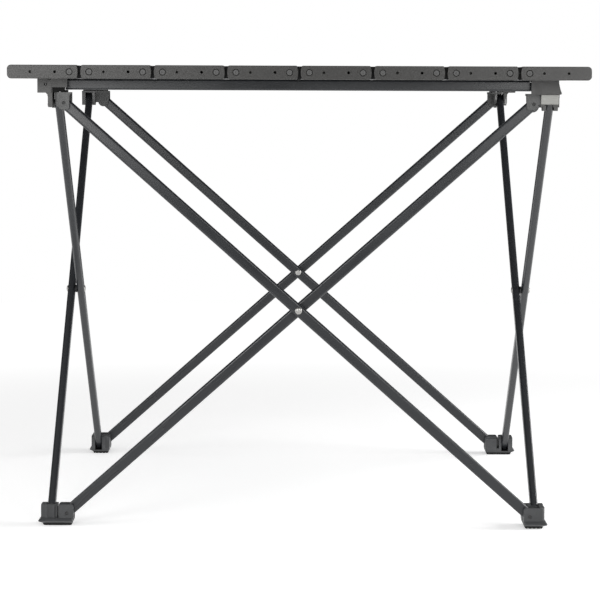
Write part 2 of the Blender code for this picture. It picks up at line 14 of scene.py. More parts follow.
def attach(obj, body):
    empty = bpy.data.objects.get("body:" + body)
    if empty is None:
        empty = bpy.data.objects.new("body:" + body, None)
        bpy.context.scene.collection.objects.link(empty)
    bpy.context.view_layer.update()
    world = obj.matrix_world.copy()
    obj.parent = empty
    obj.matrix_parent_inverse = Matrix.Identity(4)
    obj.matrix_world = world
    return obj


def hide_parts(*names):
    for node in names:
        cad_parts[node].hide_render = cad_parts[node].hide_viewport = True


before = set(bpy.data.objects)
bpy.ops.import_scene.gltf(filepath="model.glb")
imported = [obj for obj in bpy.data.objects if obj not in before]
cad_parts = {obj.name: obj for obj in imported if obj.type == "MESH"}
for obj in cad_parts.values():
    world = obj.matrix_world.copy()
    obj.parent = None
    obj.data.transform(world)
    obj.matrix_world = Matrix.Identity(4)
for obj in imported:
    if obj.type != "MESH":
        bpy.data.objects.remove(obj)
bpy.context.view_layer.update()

MM = 0.001
QUARTER = math.pi / 2

# ---------------------------------------------------------------- dimensions, millimetres
TOP_SIZE, SLATS, CAP_W = 700.0, 8, 84.7
PITCH = (TOP_SIZE - CAP_W) / (SLATS - 1)
SLAT_T, TOP_Z, PIN_X = 16.5, 566.5, 32.1
END_R = CAP_W / 2 - PIN_X
CAP_D, SKIN, WALL, END_CORNER = 14.0, 0.35, 1.0, 5.0
MID_Z = TOP_Z - SLAT_T / 2
LEG_B, LEG_P, PLANES = 300.0, 285.5, 12.2
HUB_Z, FOOT_Z = 521.0, 15.5
TUBE_W, TUBE_S = 13.4, 9.4
CROSS_Z = (HUB_Z + FOOT_Z) / 2
THETA = math.atan2(HUB_Z - FOOT_Z, 2 * LEG_P)
ARM = math.hypot(LEG_P, (HUB_Z - FOOT_Z) / 2)
OUT = LEG_B + PLANES / 2 - LEG_P
INN = LEG_B - PLANES / 2 - LEG_P
RAIL_Z = (536.7, 547.8)
RAIL_TOP = 549.95
RAIL_PIVOT_X = {"front": -289.0, "rear": -273.0}
RAIL_END_X, RAIL_Y = 290.0, 300.0
BRACKET_TOP = TOP_Z - SLAT_T - 0.3
ROOF = BRACKET_TOP - 1.6

PLACE = {"X": lambda a, b, c: (c, a, b),
         "Y": lambda a, b, c: (a, c, b),
         "Z": lambda a, b, c: (a, b, c)}
collection = bpy.context.scene.collection


# ---------------------------------------------------------------- mesh tools
def prism(loops, axis, low, high):
    bm = bmesh.new()
    put = PLACE[axis]
    edges = []
    for loop in loops:
        ring = [bm.verts.new(put(a, b, low)) for a, b in loop]
        edges += [bm.edges.new((ring[i], ring[(i + 1) % len(ring)])) for i in range(len(ring))]
    bmesh.ops.triangle_fill(bm, edges=edges, use_beauty=True)
    bmesh.ops.dissolve_limit(bm, angle_limit=math.radians(0.3), verts=bm.verts[:], edges=bm.edges[:])
    made = bmesh.ops.extrude_face_region(bm, geom=bm.faces[:])
    verts = [v for v in made["geom"] if isinstance(v, bmesh.types.BMVert)]
    bmesh.ops.translate(bm, verts=verts, vec=Vector(put(0, 0, high - low)))
    bmesh.ops.recalc_face_normals(bm, faces=bm.faces[:])
    return bm


def box(x0, x1, y0, y1, z0, z1):
    return prism([[(x0, y0), (x1, y0), (x1, y1), (x0, y1)]], "Z", z0, z1)


def circle(ca, cb, radius, count=24, turn=0.0):
    return [(ca + radius * math.cos(turn + 2 * math.pi * i / count),
             cb + radius * math.sin(turn + 2 * math.pi * i / count)) for i in range(count)]


def turned(axis, centre, rings, count=32):
    """Turned solid from rings of (position along axis, radius); a radius of 0 closes to a point."""
    bm = bmesh.new()
    put = PLACE[axis]
    loops = []
    for along, radius in rings:
        if radius <= 0:
            loops.append([bm.verts.new(put(centre[0], centre[1], along))])
        else:
            loops.append([bm.verts.new(put(a, b, along)) for a, b in circle(centre[0], centre[1], radius, count)])
    for lower, upper in zip(loops, loops[1:]):
        for i in range(count):
            j = (i + 1) % count
            if len(lower) == 1:
                bm.faces.new((lower[0], upper[j], upper[i]))
            elif len(upper) == 1:
                bm.faces.new((lower[i], lower[j], upper[0]))
            else:
                bm.faces.new((lower[i], lower[j], upper[j], upper[i]))
    for loop in (loops[0], loops[-1]):
        if len(loop) > 1:
            bm.faces.new(loop)
    bmesh.ops.recalc_face_normals(bm, faces=bm.faces[:])
    return bm


def loft(rings, cap=True):
    """Closed solid through rings of 3-D points, all with the same count."""
    bm = bmesh.new()
    loops = [[bm.verts.new(p) for p in ring] for ring in rings]
    count = len(loops[0])
    for lower, upper in zip(loops, loops[1:]):
        for i in range(count):
            j = (i + 1) % count
            bm.faces.new((lower[i], lower[j], upper[j], upper[i]))
    bm.faces.new(loops[0])
    bm.faces.new(loops[-1])
    bmesh.ops.recalc_face_normals(bm, faces=bm.faces[:])
    return bm


def rounded(x0, x1, y0, y1, r, n=4):
    pts = []
    for cx, cy, start in ((x1 - r, y1 - r, 0.0), (x0 + r, y1 - r, 0.5), (x0 + r, y0 + r, 1.0), (x1 - r, y0 + r, 1.5)):
        for i in range(n + 1):
            angle = math.pi * (start + 0.5 * i / n)
            pts.append((cx + r * math.cos(angle), cy + r * math.sin(angle)))
    return pts


def scratch(bm):
    mesh = bpy.data.meshes.new("scratch")
    bm.to_mesh(mesh)
    bm.free()
    obj = bpy.data.objects.new("scratch", mesh)
    collection.objects.link(obj)
    return obj


def combine(base, tools, operation):
    for bm in tools:
        tool = scratch(bm)
        mod = base.modifiers.new("boolean", "BOOLEAN")
        mod.object = tool
        mod.operation = operation
        mod.solver = "EXACT"
        graph = bpy.context.evaluated_depsgraph_get()
        result = bpy.data.meshes.new_from_object(base.evaluated_get(graph))
        base.modifiers.clear()
        base.data = result
        bpy.data.objects.remove(tool, do_unlink=True)
    return base


def finish(source, name, bevel=0.4, segments=2, sharp=28.0):
    """Cleans a working object or bmesh, rounds its sharp edges and returns a mesh in metres."""
    if isinstance(source, bmesh.types.BMesh):
        bm = source
    else:
        bm = bmesh.new()
        bm.from_mesh(source.data)
        bpy.data.objects.remove(source, do_unlink=True)
    bmesh.ops.remove_doubles(bm, verts=bm.verts[:], dist=0.01)
    bmesh.ops.dissolve_limit(bm, angle_limit=math.radians(0.4), verts=bm.verts[:], edges=bm.edges[:])
    bmesh.ops.recalc_face_normals(bm, faces=bm.faces[:])
    if bevel:
        edges = [e for e in bm.edges if len(e.link_faces) == 2 and e.calc_face_angle(0.0) > math.radians(sharp)]
        bmesh.ops.bevel(bm, geom=edges, offset=bevel, offset_type="OFFSET", segments=segments, profile=0.5,
                        affect="EDGES", clamp_overlap=True, loop_slide=False, miter_outer="SHARP", harden_normals=False)
        bmesh.ops.remove_doubles(bm, verts=bm.verts[:], dist=0.004)
    bmesh.ops.recalc_face_normals(bm, faces=bm.faces[:])
    bmesh.ops.scale(bm, verts=bm.verts[:], vec=(MM, MM, MM))
    mesh = bpy.data.meshes.new(name)
    bm.to_mesh(mesh)
    bm.free()
    mesh.shade_smooth()
    mesh.set_sharp_from_angle(angle=math.radians(50.0))
    return mesh


def place(name, mesh, material, body, location=(0, 0, 0), turn=0.0, spin=None, nodes=()):
    """Puts one piece in the row frame and lets it ride on its body."""
    obj = bpy.data.objects.new(name, mesh)
    collection.objects.link(obj)
    if not mesh.materials:
        mesh.materials.append(material)
    matrix = Matrix.Translation(Vector(location) * MM) @ Matrix.Rotation(turn, 4, "Z")
    if spin is not None:
        matrix = matrix @ Matrix.Rotation(spin, 4, "Y")
    obj.matrix_world = matrix
    mod = obj.modifiers.new("normals", "WEIGHTED_NORMAL")
    mod.keep_sharp = True
    mod.weight = 50
    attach(obj, body)
    if nodes:
        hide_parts(*nodes)
    return obj


# ---------------------------------------------------------------- materials
class Nodes:
    """Short names for building one Principled material."""

    def __init__(self, name):
        self.mat = bpy.data.materials.new(name)
        self.mat.use_nodes = True
        self.tree = self.mat.node_tree
        self.shader = self.tree.nodes["Principled BSDF"]
        self.coords = self.tree.nodes.new("ShaderNodeTexCoord").outputs["Object"]
        self.random = self.tree.nodes.new("ShaderNodeObjectInfo").outputs["Random"]

    def link(self, a, b):
        self.tree.links.new(a, b)

    def put(self, socket, value):
        if isinstance(value, bpy.types.NodeSocket):
            self.link(value, socket)
        else:
            socket.default_value = value

    def scaled(self, x, y, z):
        node = self.tree.nodes.new("ShaderNodeMapping")
        node.inputs["Scale"].default_value = (x, y, z)
        self.link(self.coords, node.inputs["Vector"])
        return node.outputs["Vector"]

    def noise(self, scale, detail=3.0, rough=0.55, vector=None, distortion=0.0):
        node = self.tree.nodes.new("ShaderNodeTexNoise")
        node.inputs["Scale"].default_value = scale
        node.inputs["Detail"].default_value = detail
        node.inputs["Roughness"].default_value = rough
        node.inputs["Distortion"].default_value = distortion
        self.link(vector or self.coords, node.inputs["Vector"])
        return node.outputs["Fac"]

    def cells(self, scale, vector=None):
        node = self.tree.nodes.new("ShaderNodeTexVoronoi")
        node.inputs["Scale"].default_value = scale
        self.link(vector or self.coords, node.inputs["Vector"])
        return node.outputs["Distance"]

    def span(self, value, a, b, c, d):
        node = self.tree.nodes.new("ShaderNodeMapRange")
        self.put(node.inputs["Value"], value)
        for key, number in (("From Min", a), ("From Max", b), ("To Min", c), ("To Max", d)):
            node.inputs[key].default_value = number
        return node.outputs["Result"]

    def math(self, operation, a, b=0.0):
        node = self.tree.nodes.new("ShaderNodeMath")
        node.operation = operation
        self.put(node.inputs[0], a)
        self.put(node.inputs[1], b)
        return node.outputs[0]

    def mix(self, factor, a, b):
        node = self.tree.nodes.new("ShaderNodeMix")
        node.data_type = "RGBA"
        self.put(node.inputs["Factor"], factor)
        for key, value in (("A", a), ("B", b)):
            socket = [s for s in node.inputs if s.name == key and s.type == "RGBA"][0]
            self.put(socket, value if isinstance(value, bpy.types.NodeSocket) else (*value, 1.0))
        return [s for s in node.outputs if s.type == "RGBA"][0]

    def edges(self, low=0.52, high=0.6):
        """1 along raised edges, from the mesh's pointiness."""
        node = self.tree.nodes.new("ShaderNodeNewGeometry")
        return self.span(node.outputs["Pointiness"], low, high, 0.0, 1.0)

    def bump(self, height, strength, distance, before=None):
        node = self.tree.nodes.new("ShaderNodeBump")
        node.inputs["Strength"].default_value = strength
        node.inputs["Distance"].default_value = distance
        self.link(height, node.inputs["Height"])
        if before is not None:
            self.link(before, node.inputs["Normal"])
        return node.outputs["Normal"]

    def done(self, colour, roughness, normal=None, metallic=0.0, specular=0.5, **extra):
        s = self.shader.inputs
        self.put(s["Base Color"], colour if isinstance(colour, bpy.types.NodeSocket) else (*colour, 1.0))
        self.put(s["Roughness"], roughness)
        s["Metallic"].default_value = metallic
        s["Specular IOR Level"].default_value = specular
        for key, value in extra.items():
            s[key.replace("_", " ")].default_value = value
        if normal is not None:
            self.link(normal, s["Normal"])
        return self.mat


def scale_colour(c, k):
    return tuple(min(v * k, 1.0) for v in c)


def moulded(name, colour, rough=0.5, grain=0.00012, scale=2600.0, specular=0.4, wear=0.5, vary=0.10):
    """Moulded plastic: fine spark texture, faint flow variation, lighter rubbed edges."""
    n = Nodes(name)
    fine = n.noise(scale, 4.0, 0.6)
    flow = n.noise(28.0, 3.0, 0.5, distortion=0.6)
    dust = n.noise(420.0, 5.0, 0.7)
    base = n.mix(n.span(flow, 0.3, 0.7, 0.0, 1.0), scale_colour(colour, 1 - vary), scale_colour(colour, 1 + vary))
    base = n.mix(n.math("MULTIPLY", n.span(fine, 0.45, 0.75, 0.0, 1.0), 0.22), base, scale_colour(colour, 1.55))
    base = n.mix(n.math("MULTIPLY", n.span(n.random, 0.0, 1.0, 0.0, 1.0), 0.25), base, scale_colour(colour, 0.82))
    rub = n.math("MULTIPLY", n.edges(), n.math("MULTIPLY", n.span(dust, 0.35, 0.65, 0.2, 1.0), wear))
    base = n.mix(rub, base, scale_colour(colour, 2.2))
    roughness = n.math("ADD", n.span(dust, 0.3, 0.7, rough - 0.06, rough + 0.07), n.math("MULTIPLY", rub, -0.08))
    normal = n.bump(fine, 0.55, grain)
    normal = n.bump(flow, 0.25, 0.0003, normal)
    return n.done(base, roughness, normal, 0.0, specular)


def anodised(name, colour, rough=0.36, metallic=0.85, along="Y", specular=0.5):
    """Brushed and anodised extrusion: fine drawn lines along its length, faint die streaks."""
    n = Nodes(name)
    stretch = {"X": (6.0, 900.0, 900.0), "Y": (900.0, 6.0, 900.0)}[along]
    wide = {"X": (2.0, 110.0, 110.0), "Y": (110.0, 2.0, 110.0)}[along]
    lines = n.noise(1.0, 5.0, 0.65, n.scaled(*stretch))
    streaks = n.noise(1.0, 3.0, 0.5, n.scaled(*wide))
    cloud = n.noise(14.0, 4.0, 0.55, distortion=0.4)
    pits = n.noise(1800.0, 2.0, 0.5)
    base = n.mix(n.span(streaks, 0.3, 0.7, 0.0, 1.0), scale_colour(colour, 0.88), scale_colour(colour, 1.12))
    base = n.mix(n.math("MULTIPLY", n.span(lines, 0.4, 0.75, 0.0, 1.0), 0.35), base, scale_colour(colour, 1.5))
    base = n.mix(n.math("MULTIPLY", n.span(cloud, 0.35, 0.7, 0.0, 1.0), 0.25), base, scale_colour(colour, 0.8))
    base = n.mix(n.math("MULTIPLY", n.random, 0.2), base, scale_colour(colour, 0.85))
    rub = n.math("MULTIPLY", n.edges(0.53, 0.62), 0.35)
    base = n.mix(rub, base, scale_colour(colour, 2.4))
    roughness = n.math("ADD", n.span(lines, 0.3, 0.7, rough - 0.05, rough + 0.08), n.math("MULTIPLY", cloud, 0.06))
    normal = n.bump(lines, 0.35, 0.00006)
    normal = n.bump(pits, 0.2, 0.00004, normal)
    return n.done(base, roughness, normal, metallic, specular)


def powder(name, colour, rough=0.42, metallic=0.0, specular=0.5, along="X", coat=0.0):
    """Satin powder coat: fine orange peel, faint speckle, a little rub on the edges."""
    n = Nodes(name)
    peel = n.noise(700.0, 3.0, 0.5)
    speck = n.noise(4200.0, 2.0, 0.5)
    long = n.noise(1.0, 3.0, 0.5, n.scaled(*((9.0, 60.0, 60.0) if along == "X" else (60.0, 9.0, 60.0))))
    base = n.mix(n.span(long, 0.3, 0.7, 0.0, 1.0), scale_colour(colour, 0.9), scale_colour(colour, 1.1))
    base = n.mix(n.math("MULTIPLY", n.span(speck, 0.5, 0.75, 0.0, 1.0), 0.3), base, scale_colour(colour, 1.7))
    base = n.mix(n.math("MULTIPLY", n.random, 0.15), base, scale_colour(colour, 0.85))
    rub = n.math("MULTIPLY", n.edges(0.54, 0.64), n.math("MULTIPLY", n.span(peel, 0.4, 0.65, 0.0, 1.0), 0.3))
    base = n.mix(rub, base, scale_colour(colour, 2.4))
    roughness = n.span(long, 0.3, 0.7, rough - 0.05, rough + 0.06)
    normal = n.bump(peel, 0.2, 0.00005)
    normal = n.bump(speck, 0.12, 0.00002, normal)
    return n.done(base, roughness, normal, metallic, specular, Coat_Weight=coat, Coat_Roughness=0.25)


def steel(name, colour, rough=0.28):
    """Turned steel: fine rings of tool marks and a few scuffs."""
    n = Nodes(name)
    marks = n.noise(1400.0, 3.0, 0.6)
    scuff = n.noise(160.0, 4.0, 0.6, distortion=1.5)
    base = n.mix(n.span(scuff, 0.35, 0.7, 0.0, 1.0), colour, scale_colour(colour, 0.78))
    roughness = n.span(scuff, 0.3, 0.75, rough - 0.06, rough + 0.16)
    return n.done(base, roughness, n.bump(marks, 0.3, 0.00004), 1.0, 0.5)


def rubber(name, colour):
    n = Nodes(name)
    fine = n.noise(3000.0, 4.0, 0.7)
    dirt = n.noise(180.0, 5.0, 0.65)
    base = n.mix(n.span(dirt, 0.45, 0.75, 0.0, 0.5), colour, scale_colour(colour, 1.9))
    return n.done(base, n.span(fine, 0.3, 0.7, 0.72, 0.92), n.bump(fine, 0.6, 0.00012), 0.0, 0.25)


def satin_plate(name, colour):
    """Plain light plate on the front right latch: fine cross-brushed satin."""
    n = Nodes(name)
    brush = n.noise(1.0, 4.0, 0.6, n.scaled(60.0, 60.0, 2600.0))
    cloud = n.noise(90.0, 3.0, 0.5)
    base = n.mix(n.span(cloud, 0.3, 0.7, 0.0, 1.0), scale_colour(colour, 0.94), scale_colour(colour, 1.05))
    base = n.mix(n.math("MULTIPLY", n.span(brush, 0.4, 0.7, 0.0, 1.0), 0.3), base, scale_colour(colour, 0.86))
    return n.done(base, n.span(brush, 0.3, 0.7, 0.34, 0.5), n.bump(brush, 0.25, 0.00005), 0.0, 0.5)


M_SLAT = anodised("slat_anodised", (0.085, 0.086, 0.09), 0.38, 0.6, "Y")
M_CAP = moulded("cap_plastic", (0.032, 0.0312, 0.0296), 0.35, specular=0.45, vary=0.07)
M_PIN = moulded("pin_plastic", (0.062, 0.062, 0.061), 0.42, grain=0.00006, specular=0.5, vary=0.05)
M_BRACKET = moulded("bracket_plastic", (0.046, 0.0455, 0.0445), 0.5, specular=0.45)
M_HUB = moulded("hub_plastic", (0.048, 0.0485, 0.048), 0.42, specular=0.5)
M_FOOT = moulded("foot_plastic", (0.04, 0.0415, 0.0435), 0.42, specular=0.5, vary=0.12)
# link plate: dark plastic, taken down to near black with little sheen as painted shade for the gap between the caps
M_LINK_PARTLY_PAINTED_SHADE = moulded("link_plastic", (0.006, 0.006, 0.0062), 0.6, specular=0.12)
M_MARK = moulded("pin_end", (0.03, 0.03, 0.03), 0.42, grain=0.00004)
M_PLUG = moulded("plug_plastic", (0.02, 0.02, 0.021), 0.55)
M_RAIL = powder("rail_coat", (0.0125, 0.014, 0.016), 0.3, specular=0.55)
M_LEG = powder("leg_coat", (0.0145, 0.016, 0.0185), 0.28, specular=0.55)
M_STEEL = steel("rivet_steel", (0.44, 0.435, 0.42), 0.36)
M_SCREW = steel("screw_steel", (0.2, 0.2, 0.2), 0.35)
M_RUBBER = rubber("sole_rubber", (0.014, 0.014, 0.014))
# near-black pad: its colour is painted shade for the shadowed hollow under the front of each bracket
M_PAD_PAINTED_SHADE = rubber("pad_rubber_painted_shade", (0.006, 0.006, 0.006))
M_PLATE = satin_plate("latch_plate", (0.305, 0.305, 0.288))


# ---------------------------------------------------------------- the top
def slat_outline(inset, plain=0, steps=8, grooves=()):
    """Flat top and bottom; gently bowed ends with rounded corners past the pins."""
    half = SLAT_T / 2 - inset
    corner = 2.1 - 0.5 * inset
    low = SLAT_T / 2 - 2.1
    pts = []
    for side in (1, -1):
        if side == plain:
            corner_p = END_CORNER - inset
            ax, az = CAP_W / 2 - END_CORNER, half - corner_p
            for cz, first in ((-az, -math.pi / 2), (az, 0.0)):
                for i in range(9):
                    angle = first + math.pi / 16 * i
                    pts.append((side * (ax + corner_p * math.cos(angle)), side * (cz + corner_p * math.sin(angle))))
        else:
            cx = PIN_X + END_R + 0.25 - low * low / 42.0 - 2.1
            cz = half - corner
            for i in range(5):
                angle = -math.pi / 2 + math.pi / 2 * i / 5
                pts.append((side * (cx + (2.1 - inset) * math.cos(angle)), side * (-cz + corner * math.sin(angle))))
            for i in range(steps + 1):
                z = -low + 2 * low * i / steps
                pts.append((side * (PIN_X + END_R + 0.25 - inset - z * z / 42.0), side * z))
            for i in range(1, 6):
                angle = math.pi / 2 * i / 5
                pts.append((side * (cx + (2.1 - inset) * math.cos(angle)), side * (cz + corner * math.sin(angle))))
        if side == 1:
            # the top runs from +x to -x; each groove is a shallow V
            for g in sorted(grooves, reverse=True):
                pts += [(g + 0.55, half), (g + 0.15, half - 0.4), (g - 0.15, half - 0.4), (g - 0.55, half)]
    return pts


def slat_mesh(plain=0):
    outer = slat_outline(SKIN, plain, 8, (-27.0, -25.0, -9.0, -7.0, 7.0, 9.0, 25.0, 27.0))
    h = SLAT_T / 2 - SKIN - WALL
    mid, far, tip = 13.5, 36.0, 38.9
    centre = [(-mid, -h), (mid, -h), (mid, h), (-mid, h)]
    right = [(mid + 1.0, -h), (far, -h), (tip, -h * 0.6), (tip, h * 0.6), (far, h), (mid + 1.0, h)]
    left = [(-a, b) for a, b in reversed(right)]
    long = TOP_SIZE / 2 - CAP_D - 0.3
    return finish(prism([outer, centre, right, left], "Y", -long, long), "slat", 0.0)


def cap_mesh(plain=0):
    """Front cap about the middle of its slat's end face; +Y goes into the slat."""
    # the face is slightly crowned: a body prism with a lofted front edge
    outline = slat_outline(0.0, plain)
    rings = []
    for y, inset in ((0.0, 0.75), (0.22, 0.32), (0.75, 0.0), (CAP_D - 0.4, 0.0), (CAP_D, 0.3)):
        if inset:
            ring = slat_outline(inset, plain)
        else:
            ring = outline
        rings.append([(a, y, b) for a, b in ring])
    base = scratch(loft(rings))
    cuts = []
    sides = [side for side in (1, -1) if side != plain]
    for side in sides:
        a, b = sorted((side * 25.0, side * (CAP_W / 2 + 2.0)))
        cuts.append(box(a, b, 4.4, 9.6, -SLAT_T, SLAT_T))
    for side in sides:
        cuts.append(turned("Y", (side * PIN_X, 0.0), [(-1.0, 4.2), (0.0, 4.2), (0.4, 3.9), (4.2, 3.9), (4.3, 4.25), (CAP_D + 1.0, 4.25)], 32))
    for side in (1, -1):
        cuts.append(turned("Y", (side * 14.7, 0.0), [(-1.0, 1.75), (0.0, 1.75), (0.4, 1.4), (4.2, 1.4), (4.9, 0.6)], 20))
    combine(base, cuts, "DIFFERENCE")
    return finish(base, "cap", 0.25, 1, 40.0)


def link_mesh():
    """Link plate: round about each pin, taller between them so that it fills the gap."""
    reach = PITCH / 2 - PIN_X
    radius, tall, wide = 5.6, 7.45, 8.6
    right = []
    for i in range(13):
        angle = -math.pi / 2 + math.pi * i / 12
        right.append((reach + radius * math.cos(angle), radius * math.sin(angle)))
    right = [(wide - 1.2, -tall), (wide, -tall + 1.2), (wide + 0.5, -radius)] + right + [(wide + 0.5, radius), (wide, tall - 1.2), (wide - 1.2, tall)]
    plate = right + [(-a, -b) for a, b in right]
    return finish(prism([plate], "Y", 4.7, 9.3), "link", 0.35, 1)


def link_pins_mesh():
    """The two turned pins of a link, seen as round ends in the caps."""
    reach = PITCH / 2 - PIN_X
    rings = [(0.75, 0.0), (0.75, 0.9), (0.5, 1.15), (0.4, 1.5), (0.4, 2.9), (0.6, 3.25), (1.0, 3.5), (4.1, 3.5), (4.4, 3.9), (13.1, 3.9), (13.5, 3.5)]
    base = scratch(turned("Y", (reach, 0.0), rings, 32))
    combine(base, [turned("Y", (-reach, 0.0), rings, 32)], "UNION")
    return finish(base, "link_pins", 0.0)


# ---------------------------------------------------------------- the legs
def tube_mesh(outer):
    ring = [(a, b) for a, b in rounded(-TUBE_S / 2, TUBE_S / 2, -TUBE_W / 2, TUBE_W / 2, 2.8, 7)]
    bore = [(a, b) for a, b in rounded(-TUBE_S / 2 + 1.3, TUBE_S / 2 - 1.3, -TUBE_W / 2 + 1.3, TUBE_W / 2 - 1.3, 1.5, 3)]
    end = ARM + 7.0
    base = scratch(prism([ring, bore], "X", -end, end))
    spots = (-ARM, 0.0, ARM) if outer else (-ARM, ARM)
    combine(base, [prism([circle(x, 0.0, 3.25, 24)], "Y", -9.0, 9.0) for x in spots], "DIFFERENCE")
    return finish(base, "tube", 0.18, 1, 45.0)


def tube_plug_mesh():
    """Plug for a tube's end, about the tube's axis with its face at x = 0."""
    w, s = TUBE_W / 2 - 1.35, TUBE_S / 2 - 1.35
    rings = []
    for x, grow, r in ((-3.6, 0.0, 0.7), (-0.9, 0.0, 0.7), (-0.5, -0.35, 0.6), (-0.5, -0.9, 0.4), (-1.3, -1.3, 0.3)):
        rings.append([(x, a, b) for a, b in rounded(-s - grow, s + grow, -w - grow, w + grow, r, 3)])
    return finish(loft(rings), "tube_plug", 0.0)


def middle_rivet_mesh():
    s = TUBE_S / 2
    face = -(PLANES + s)
    rings = [(s + 1.5, 0.0), (s + 1.5, 2.6), (s + 1.1, 3.7), (s + 0.5, 4.25), (s + 0.05, 4.3), (s + 0.05, 2.75), (face - 0.1, 2.75),
             (face - 0.1, 4.45)]
    for i in range(1, 9):
        angle = math.pi / 2 * i / 8
        rings.append((face - 0.3 - 2.0 * math.sin(angle), 4.45 * math.cos(angle) if i < 8 else 0.0))
    return finish(turned("Y", (0.0, 0.0), rings, 40), "middle_rivet", 0.0)


def washer_mesh():
    s = TUBE_S / 2
    low, high = -PLANES + s + 0.3, -s - 0.2
    rings = [[(r * math.cos(a), y, r * math.sin(a)) for a in (2 * math.pi * i / 40 for i in range(40))]
             for y, r in ((low, 2.9), (low, 4.7), (low + 0.25, 5.0), (high - 0.25, 5.0), (high, 4.7), (high, 2.9))]
    bm = bmesh.new()
    loops = [[bm.verts.new(p) for p in ring] for ring in rings]
    for k in range(len(loops)):
        lower, upper = loops[k], loops[(k + 1) % len(loops)]
        for i in range(40):
            j = (i + 1) % 40
            bm.faces.new((lower[i], lower[j], upper[j], upper[i]))
    bmesh.ops.recalc_face_normals(bm, faces=bm.faces[:])
    return finish(bm, "middle_washer", 0.0)


def wall_profile(points, radius=0.0):
    return points


def hub_mesh():
    """Front left hub about the crossing point of its two pivot axes."""
    s, gap = TUBE_S / 2, 0.35
    top, plate_z = 12.7, 10.2
    x0, x1 = -10.4, 6.6
    y_out, y_in = -30.6, 8.7
    far = -17.2
    plate = [(x0 + 2.9, y_out + 1.6), (x1 + 1.0, y_out + 1.6), (x1 + 1.9, y_out + 2.6), (x1 + 1.9, -8.0), (5.5, 5.0), (4.5, y_in), (-11.0, y_in),
             (-12.0, 8.1), (far, 8.1), (far, -8.3), (-11.8, -8.3), (-11.8, -24.0), (x0 + 0.6, -27.0)]
    base = scratch(prism([plate], "Z", plate_z, top - 0.01))
    low = -8.0
    wall = [(x0, top), (x0, -1.6), (x0 + 6.9, low), (x1 - 3.0, low)]
    wall += [(x1 - 3.0 + 3.0 * math.sin(a), low + 3.0 - 3.0 * math.cos(a)) for a in (math.pi / 8, math.pi / 4, math.pi * 3 / 8, math.pi / 2)]
    wall += [(x1, 8.6), (x1 + 1.3, 10.8), (x1 + 1.3, top)]
    inner = [(-11.6, top - 0.6), (-11.6, -1.6), (-5.8, low), (4.0, low), (8.6, low + 5.0), (8.9, 1.6), (8.9, top - 0.6)]
    ear = [(8.6, top - 0.6), (8.6, -3.8), (8.0, -5.6), (6.4, -6.5), (0.4, -6.6), (-2.2, -5.8), (-4.2, -4.1), (-5.3, -1.6), (-5.6, -0.4), (-8.2, -0.3), (-8.2, top - 0.6)]
    lobe = [(8.2, top - 0.6), (-7.6, top - 0.6)]
    lobe += [(7.6 * math.cos(math.pi + math.pi * i / 10), -2.4 + 7.6 * math.sin(math.pi + math.pi * i / 10)) for i in range(11)]
    adds = [prism([wall], "Y", y_out, -(OUT + s + gap)),
            prism([inner], "Y", -(OUT - s - gap), -(OUT - s - gap) + 4.0),
            prism([[(-11.5, top - 0.7), (-11.5, 4.0), (-9.3, 4.0), (-9.3, top - 0.7)]], "Y", y_out + 3.4, -(OUT - s - gap) + 1.0),
            prism([ear], "X", far + 0.1, -(INN + s + gap)),
            prism([lobe], "X", -(INN - s - gap), -(INN - s - gap) + 4.0),
            prism([[(-14.0, top - 0.8), (-14.0, -4.0), (-6.0, -4.0), (-6.0, top - 0.8)]], "X", -(INN - s - gap) + 0.4, -(INN - s - gap) + 3.5)]
    combine(base, adds, "UNION")
    # broad chamfer down the front wall's left edge, and shallow recesses over the pin ends
    cuts = [prism([[(x0 - 3.0, y_out - 3.0), (x0 + 3.1, y_out - 3.0), (x0 + 3.1, y_out), (x0, y_out + 2.7), (x0 - 3.0, y_out + 2.7)]],
                  "Z", -12.0, top + 2.0),
            turned("Y", (0.0, 0.0), [(y_out - 1.0, 2.35), (y_out + 0.75, 2.15)], 28),
            turned("X", (0.0, 0.0), [(far - 1.0, 2.35), (far + 0.85, 2.15)], 28)]
    combine(base, cuts, "DIFFERENCE")
    return finish(base, "hub", 0.3, 2)


def pin_rings(face, back, radius=1.9):
    """Turned pin: domed end with a dimple at face, shank to back."""
    return [(face + 0.45, 0.0), (face + 0.4, 0.45), (face + 0.12, 0.7), (face, 1.1), (face + 0.1, radius - 0.25), (face + 0.4, radius),
            (face + 2.2, radius), (face + 2.5, 2.7), (back, 2.7)]


def hub_pins_mesh():
    """The two pins of a hub: shank through the tube, end shown in its recess."""
    s = TUBE_S / 2
    base = scratch(turned("Y", (0.0, 0.0), pin_rings(-30.35, -(OUT - s - 1.2)), 28))
    combine(base, [turned("X", (0.0, 0.0), pin_rings(-16.95, -(INN - s - 1.2)), 28)], "UNION")
    return finish(base, "hub_pins", 0.0)


